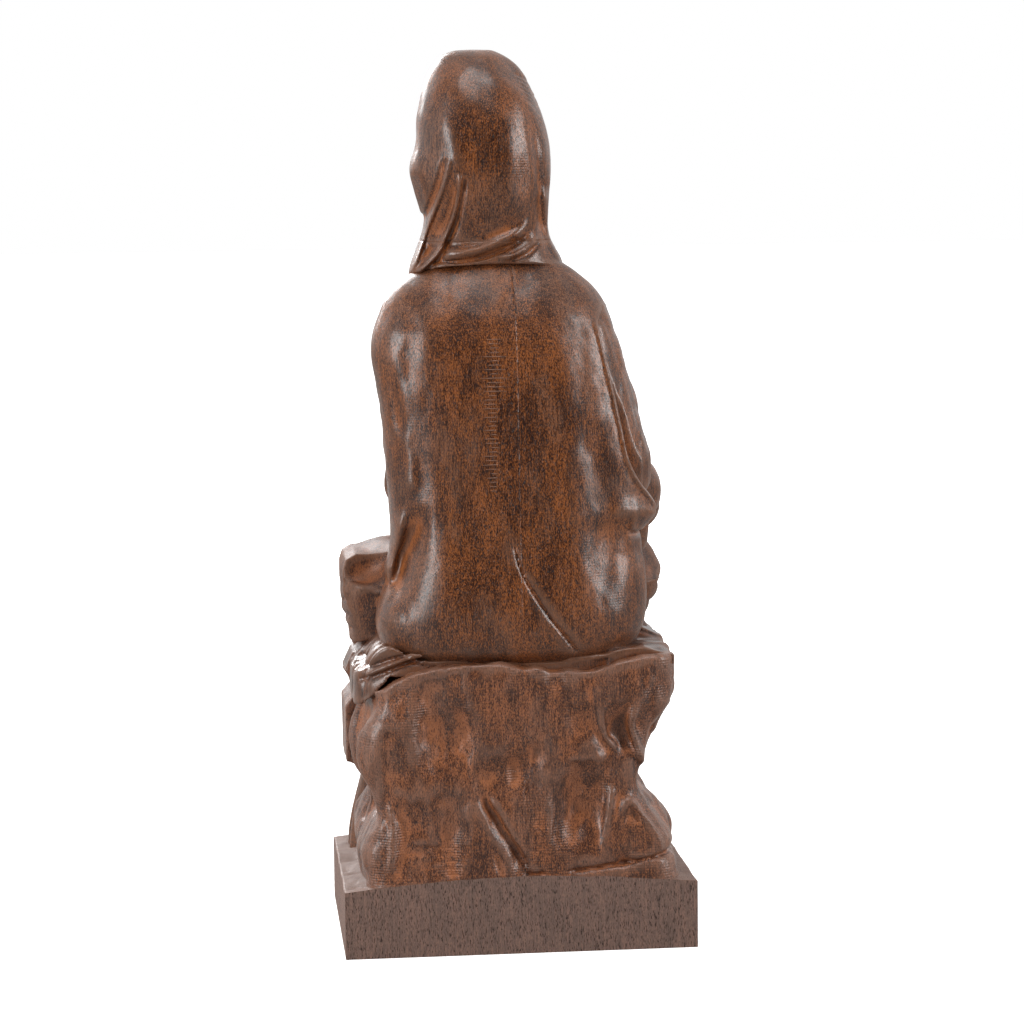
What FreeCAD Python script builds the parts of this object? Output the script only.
"""Seated veiled madonna, carved in wood from glued and pegged blocks, on a rock seat and a sawn plinth.

Frame: millimetres, +Z up, origin at the centre of the plinth's underside.
The figure faces -Y, so its back is at +Y and its own left hand is at +X.
Each carved block is one node. Pegs sit in holes bored through both blocks that they join.
"""

import FreeCAD
import Part

import math
import os

V = FreeCAD.Vector

# Driving dimensions: a nominal 4 x 3 inch blank, 10 inches tall.
WIDTH = 100.0
DEPTH = 76.0
HEIGHT = 254.0

# The blank is glued up from two boards. The glue line runs up through rock and cloak.
SEAM_X = -1.0
# Where the saw squared off the knees and the ledge, inside the plinth's own width.
FLANK_X = 47.6
BIG = 400.0

# Levels of the blocks, from the plinth up.
PLINTH_RIM_Z = 19.0
PLINTH_CROWN_Z = 21.5
ROCK_TOP_Z = 81.0
CLOTH_TOP_Z = 83.5
SHOULDER_Z = 193.0
VEIL_SPLIT_Z = 200.0

# Pegs and the play that the glue fills round them.
PEG_R = 4.0
SMALL_PEG_R = 2.0
GLUE_GAP = 0.05
RING_POINTS = 20


def ring(cx, cy, z, half_width, front, back, square=2.3):
    """A closed, level, smooth outline: half_width to each side, front towards -Y, back towards +Y."""
    points = []
    for i in range(RING_POINTS):
        angle = 2 * math.pi * i / RING_POINTS
        c, s = math.cos(angle), math.sin(angle)
        reach = back if s > 0 else front
        x = cx + half_width * math.copysign(abs(c) ** (2 / square), c)
        y = cy + reach * math.copysign(abs(s) ** (2 / square), s)
        points.append(V(x, y, z))
    curve = Part.BSplineCurve()
    curve.interpolate(points, PeriodicFlag=True)
    return Part.Wire(curve.toShape())


def loft(rings):
    """A closed smooth solid through level outlines."""
    return Part.makeLoft(rings, True, False)


def limb(stations):
    """A closed smooth solid along a bent path: each station is (centre, radius)."""
    centres = [V(*centre) for centre, _ in stations]
    wires = []
    for i, (_, radius) in enumerate(stations):
        before = centres[max(i - 1, 0)]
        after = centres[min(i + 1, len(centres) - 1)]
        circle = Part.Circle(centres[i], after - before, radius)
        wires.append(Part.Wire(circle.toShape()))
    return Part.makeLoft(wires, True, False)


def ellipsoid(centre, semi_axes, tilt_deg=0.0, tilt_axis=V(0, 0, 1)):
    """A closed egg, turned about its own centre."""
    stretch = FreeCAD.Matrix()
    stretch.scale(*semi_axes)
    egg = Part.makeSphere(1.0).transformGeometry(stretch)
    egg.rotate(V(0, 0, 0), tilt_axis, tilt_deg)
    egg.translate(V(*centre))
    return egg


def capsule(start, end, radius):
    """A round-ended rod, such as a finger."""
    start, end = V(*start), V(*end)
    rod = Part.makeCylinder(radius, (end - start).Length, start, end - start)
    return rod.fuse([Part.makeSphere(radius, start), Part.makeSphere(radius, end)])


def peg(start, end, radius):
    """A plain dowel between two points."""
    start, end = V(*start), V(*end)
    return Part.makeCylinder(radius, (end - start).Length, start, end - start)


def bore(shape, *pegs_at):
    """shape with a hole for each peg, wider by the glue gap."""
    return shape.cut([peg(a, b, radius + GLUE_GAP) for a, b, radius in pegs_at])


def side(shape, left):
    """The part of shape on one side of the glue line: left is +X."""
    low_x = SEAM_X if left else SEAM_X - BIG
    return shape.common(Part.makeBox(BIG, 2 * BIG, 2 * BIG, V(low_x, -BIG, -BIG)))


def in_blank(shape, half_width=FLANK_X):
    """shape with the flats that the sawn blank leaves on it: sides, front and back."""
    return shape.common(Part.makeBox(2 * half_width, DEPTH, HEIGHT, V(-half_width, -DEPTH / 2, 0)))


def above(shape, z):
    """The part of shape over a level."""
    return shape.common(Part.makeBox(2 * BIG, 2 * BIG, BIG, V(-BIG, -BIG, z)))


def below(shape, z):
    """The part of shape under a level."""
    return shape.common(Part.makeBox(2 * BIG, 2 * BIG, BIG, V(-BIG, -BIG, z - BIG)))


def largest(shape):
    """The biggest solid of a cut, without the splinters that a curved cut can leave."""
    return max(shape.Solids, key=lambda solid: solid.Volume)


# Pegs: (start, end, radius).
PLINTH_PEGS = [((x, 8.0, 6.0), (x, 8.0, 36.0), PEG_R) for x in (-24.0, 24.0)]
SEAT_PEGS = [((x, 14.0, 68.0), (x, 14.0, 102.0), PEG_R) for x in (-18.0, 18.0)]
NECK_PEG = ((4.5, 4.0, 170.0), (4.5, 4.0, 206.0), PEG_R)
LAP_PEGS = [((x, -18.0, 97.0), (x, 6.0, 97.0), PEG_R) for x in (-16.0, 20.0)]
SKIRT_PEGS = [((x, -32.0, 60.0), (x, -6.0, 60.0), 3.0) for x in (-14.0, 14.0)]
LEDGE_PEG = ((26.0, -8.0, 60.0), (42.0, -8.0, 60.0), 3.0)
FOOT_PEGS = [((x, -33.0, 24.5), (x, -22.0, 24.5), SMALL_PEG_R) for x in (-9.0, 13.0)]
WRIST_PEGS = {
    "left": ((21.0, -10.5, 116.5), (13.0, -17.0, 109.5), SMALL_PEG_R),
    "right": ((-36.0, -10.5, 121.5), (-38.0, -19.5, 118.0), SMALL_PEG_R),
}
WRIST_R = 3.3


def plinth():
    """A sawn block with a top hollowed down a little towards its rims."""
    half = WIDTH / 2
    crown = Part.Arc(V(half, 0, PLINTH_RIM_Z), V(0, 0, PLINTH_CROWN_Z), V(-half, 0, PLINTH_RIM_Z))
    corners = [V(-half, 0, PLINTH_RIM_Z), V(-half, 0, 0), V(half, 0, 0), V(half, 0, PLINTH_RIM_Z)]
    edges = [Part.LineSegment(a, b).toShape() for a, b in zip(corners, corners[1:])]
    face = Part.Face(Part.Wire([*edges, crown.toShape()]))
    face.translate(V(0, -DEPTH / 2, 0))
    return face.extrude(V(0, DEPTH, 0))


def rock():
    """The rock seat: waisted on both sides, flat behind where it keeps the blank's back face."""
    back = DEPTH / 2
    levels = [  # z, left side, right side, how far back it reaches before the blank's face cuts it
        (17.0, 43.0, -43.5, back + 1.0),
        (30.0, 43.5, -43.5, back + 1.5),
        (40.0, 40.0, -39.5, back - 0.5),
        (50.0, 42.5, -34.5, back - 1.0),
        (62.0, 43.0, -39.0, back + 0.5),
        (72.0, 42.0, -43.0, back + 0.5),
        (ROCK_TOP_Z, 43.5, -43.5, back - 1.0),
    ]
    front = 24.0
    return in_blank(loft([
        ring((left + right) / 2, 0, z, (left - right) / 2, front, reach, 5.0)
        for z, left, right, reach in levels
    ]))


def rock_ledge():
    """A squared ledge left on the rock's left flank, with its top corner taken off."""
    outline = [(38.0, 71.0), (44.0, 71.0), (FLANK_X, 67.0), (FLANK_X, 50.5), (38.0, 47.5)]
    corners = [V(x, -22.0, z) for x, z in [*outline, outline[0]]]
    return Part.Face(Part.makePolygon(corners)).extrude(V(0, 24.0, 0))


def seat_cloth():
    """The cloth between the figure and the rock, with one corner hanging at the left."""
    slab = loft([
        ring(0, 5.0, z, 43.0 - 1.5 * i, 27.0, 31.0 - 1.0 * i, 4.0)
        for i, z in enumerate((ROCK_TOP_Z, CLOTH_TOP_Z))
    ])
    tip = [(42.0, CLOTH_TOP_Z), (46.5, 80.0), (FLANK_X, 75.5), (44.2, 72.5), (42.0, 78.0)]
    corners = [V(x, -20.0, z) for x, z in [*tip, tip[0]]]
    return slab.fuse(Part.Face(Part.makePolygon(corners)).extrude(V(0, 16.0, 0))).removeSplitter()


def cloak():
    """Back, hips and shoulders under the cloak, without the arms."""
    levels = [  # z, middle x, half width, front, back
        (CLOTH_TOP_Z, 0.5, 34.0, 6.0, 32.5),
        (88.0, -0.5, 37.5, 8.0, 34.5),
        (98.0, -1.5, 38.5, 10.0, 35.5),
        (112.0, -2.0, 35.5, 11.0, 34.5),
        (130.0, -1.5, 33.0, 11.0, 33.0),
        (150.0, 0.5, 34.0, 11.0, 32.0),
        (168.0, 2.0, 34.5, 10.5, 30.5),
        (178.0, 2.2, 33.0, 9.5, 27.5),
        (186.0, 2.5, 28.0, 7.0, 22.5),
        (190.5, 3.0, 22.0, 4.0, 17.5),
        (SHOULDER_Z, 4.0, 14.0, 1.0, 12.0),
    ]
    return loft([ring(cx, 0, z, half, front, back) for z, cx, half, front, back in levels])


def lap():
    """Thighs and knees under the skirt, reaching forward from the hips to the blank's front face."""
    left = limb([((16, 10, 95), 13.0), ((25, -6, 96), 13.5), ((34, -17, 95), 14.0), ((36, -28, 92), 9.0)])
    right = limb([((-16, 10, 96), 13.0), ((-24, -6, 99), 13.5), ((-31, -18, 101), 14.0), ((-33, -29, 97), 9.0)])
    middle = loft([ring(1, -10, z, half, front, 14.0, 3.0) for z, half, front in (
        (CLOTH_TOP_Z, 43.0, 25.0), (92.0, 43.0, 26.0), (100.0, 38.0, 24.0), (106.5, 28.0, 18.0))])
    return in_blank(above(left.fuse([right, middle]), CLOTH_TOP_Z))


def skirt():
    """The skirt's fall over the front of the rock, from the knees to the hem."""
    levels = [  # z, middle x, half width, how far forward
        (19.0, 2.0, 43.0, 9.0),
        (30.0, 2.0, 40.0, 9.5),
        (50.0, 1.0, 36.0, 9.5),
        (70.0, 1.0, 38.5, 10.5),
        (CLOTH_TOP_Z, 1.0, 42.0, 11.0),
    ]
    return loft([ring(cx, -25, z, half, front, 8.0, 3.5) for z, cx, half, front in levels])


def sleeve(left):
    """Upper arm, elbow and hanging cuff."""
    if left:
        return limb([((25, 4, 181), 5.5), ((27.5, 2, 171), 10.0), ((26.5, 0, 155), 10.5),
                     ((25.5, -3, 138), 10.5), ((23, -7, 123), 9.5), ((18, -14, 113), 6.5)])
    return limb([((-20, 4, 178), 5.5), ((-26, 2, 168), 10.0), ((-30.5, 0, 153), 11.0),
                 ((-32.5, -1, 138), 11.0), ((-34, -6, 126), 9.5), ((-37, -15, 119), 6.5)])


def hand(left):
    """A resting hand: wrist, palm, four fingers and a thumb."""
    start, end, _ = WRIST_PEGS["left" if left else "right"]
    wrist = capsule(start, end, WRIST_R)
    if left:
        palm = ellipsoid((11, -18, 108.5), (7.5, 4.5, 3.2), 30)
        fingers = [capsule((6, -16 - 2.2 * i, 108.0), (-5 + 1.2 * i, -15 - 2.2 * i, 107.0), 1.5) for i in range(4)]
        thumb = capsule((9, -15, 110.5), (2, -15.5, 110.0), 1.6)
    else:
        palm = ellipsoid((-38, -19, 118), (4.5, 6.5, 3.2), -10)
        fingers = [capsule((-41 + 2.4 * i, -23, 117.5), (-42.5 + 2.9 * i, -31, 110.5), 1.5) for i in range(4)]
        thumb = capsule((-35, -17, 118), (-31.5, -23, 116), 1.6)
    return palm.fuse([wrist, *fingers, thumb])


def foot(left):
    """The toe of a shoe that shows under the hem."""
    x = 13.0 if left else -9.0
    return above(ellipsoid((x, -30.5, 21.0), (7.0, 7.5, 7.0)), PLINTH_RIM_Z + 0.5)


def head():
    """Face and neck, turned a little to the figure's left."""
    face = ellipsoid((5.5, -1.0, 216.0), (13.5, 13.5, 19.5), 5.0, V(1, 0, 0))
    neck = loft([ring(4.5, 3.0, z, r, r, r, 2.0) for z, r in ((184.0, 9.5), (192.0, 8.5), (204.0, 8.5))])
    nose = limb([((6.0, -12.6, 220.5), 1.0), ((6.2, -14.4, 215.5), 1.5), ((6.3, -14.8, 211.5), 2.2)])
    return face.fuse([neck, nose])


def hair():
    """Hair drawn up from the brow to a knot under the veil."""
    cap = ellipsoid((5.5, 2.0, 221.0), (15.5, 15.5, 19.5), 4.0, V(1, 0, 0))
    knot = ellipsoid((6.0, 2.5, 240.0), (8.5, 8.0, 8.5))
    opening = ellipsoid((5.5, -13.5, 213.0), (11.0, 12.0, 15.5))
    return cap.fuse(knot).cut(opening)


def veil():
    """The veil over the head, open in front, flaring onto the shoulders."""
    levels = [  # z, middle x, half width, front, back
        (190.0, 4.0, 22.0, 10.0, 20.5),
        (194.0, 4.8, 21.5, 11.0, 20.0),
        (203.0, 4.8, 17.6, 12.5, 20.0),
        (212.0, 5.2, 19.0, 14.0, 22.0),
        (220.0, 5.8, 20.0, 14.5, 23.0),
        (230.0, 5.6, 19.2, 13.5, 22.5),
        (240.0, 6.1, 16.9, 10.5, 19.8),
        (247.0, 6.9, 14.0, 7.0, 15.5),
        (251.5, 7.5, 10.2, 2.5, 11.5),
        (HEIGHT, 7.6, 5.5, -1.5, 8.0),
    ]
    whole = loft([ring(cx, 0, z, half, front, back, 2.2) for z, cx, half, front, back in levels])
    opening = ellipsoid((5.8, -16.0, 212.0), (12.5, 13.5, 24.5))
    return whole.cut(opening)


def build():
    """Every node by name, with no two solids in the same place."""
    nodes = {}
    pad = plinth()
    nodes["plinth"] = bore(pad, *PLINTH_PEGS)
    nodes["plinth_dowels"] = Part.makeCompound([peg(*p) for p in PLINTH_PEGS])

    falling_skirt = skirt().cut(pad)
    ledge = rock_ledge()
    seat = rock().cut([pad, falling_skirt])
    seat = bore(seat.cut(ledge), *PLINTH_PEGS, *SEAT_PEGS, *SKIRT_PEGS, LEDGE_PEG)
    nodes["rock_left_board"] = largest(side(seat, True))
    nodes["rock_right_board"] = largest(side(seat, False))
    nodes["rock_ledge"] = bore(ledge, LEDGE_PEG)
    nodes["ledge_dowel"] = peg(*LEDGE_PEG)

    cloth = seat_cloth().cut(falling_skirt)
    nodes["seat_cloth"] = largest(bore(cloth.cut(ledge), *SEAT_PEGS))
    nodes["seat_dowels"] = Part.makeCompound([peg(*p) for p in SEAT_PEGS])

    neck_and_face = head()
    nodes["neck_dowel"] = peg(*NECK_PEG)
    nodes["head"] = bore(neck_and_face, NECK_PEG)
    hair_block = hair().cut(neck_and_face)
    nodes["hair"] = largest(bore(hair_block, NECK_PEG))

    body = bore(cloak(), *SEAT_PEGS, NECK_PEG, *LAP_PEGS).cut(neck_and_face)
    nodes["cloak_left_board"] = largest(side(body, True))
    nodes["cloak_right_board"] = largest(side(body, False))

    solid_body = cloak().cut(neck_and_face)
    cloth_over_head = veil().cut([solid_body, neck_and_face, hair_block])
    nodes["veil_hood"] = largest(bore(above(cloth_over_head, VEIL_SPLIT_Z), NECK_PEG))
    nodes["veil_hem"] = largest(bore(below(cloth_over_head, VEIL_SPLIT_Z), NECK_PEG))

    arms, hands = {}, {}
    for name, left in (("left", True), ("right", False)):
        arms[name] = sleeve(left).cut([cloak(), veil()])
        hands[name] = hand(left).cut([cloak(), arms[name]])
    knees = lap().cut([cloak(), falling_skirt, *arms.values()])
    for name in ("left", "right"):
        nodes[f"{name}_sleeve"] = largest(bore(arms[name], WRIST_PEGS[name]))
        nodes[f"{name}_hand"] = largest(bore(hands[name].cut(knees), WRIST_PEGS[name]))
    nodes["wrist_pegs"] = Part.makeCompound([peg(*p) for p in WRIST_PEGS.values()])
    nodes["lap"] = largest(bore(knees, *LAP_PEGS, *WRIST_PEGS.values()))
    nodes["lap_dowels"] = Part.makeCompound([peg(*p) for p in LAP_PEGS])

    shoes = {"left": foot(True).cut(pad), "right": foot(False).cut(pad)}
    hem = falling_skirt.cut(list(shoes.values()))
    nodes["skirt"] = largest(bore(hem, *SKIRT_PEGS, *FOOT_PEGS))
    nodes["skirt_dowels"] = Part.makeCompound([peg(*p) for p in SKIRT_PEGS])
    for name, shoe in shoes.items():
        nodes[f"{name}_foot"] = largest(bore(shoe, *FOOT_PEGS))
    nodes["foot_pegs"] = Part.makeCompound([peg(*p) for p in FOOT_PEGS])
    return nodes


def main():
    """Writes one STEP file per node, and prints what each holds."""
    os.makedirs("parts", exist_ok=True)
    whole = FreeCAD.BoundBox()
    for name, shape in sorted(build().items()):
        shape.exportStep(f"parts/{name}.step")
        box = shape.BoundBox
        whole.add(box)
        print(f"{name:20s} solids {len(shape.Solids)} valid {shape.isValid()} volume {shape.Volume:9.0f}",
              f"x {box.XMin:.1f}..{box.XMax:.1f} y {box.YMin:.1f}..{box.YMax:.1f} z {box.ZMin:.1f}..{box.ZMax:.1f}")
    print("whole", whole)


main()
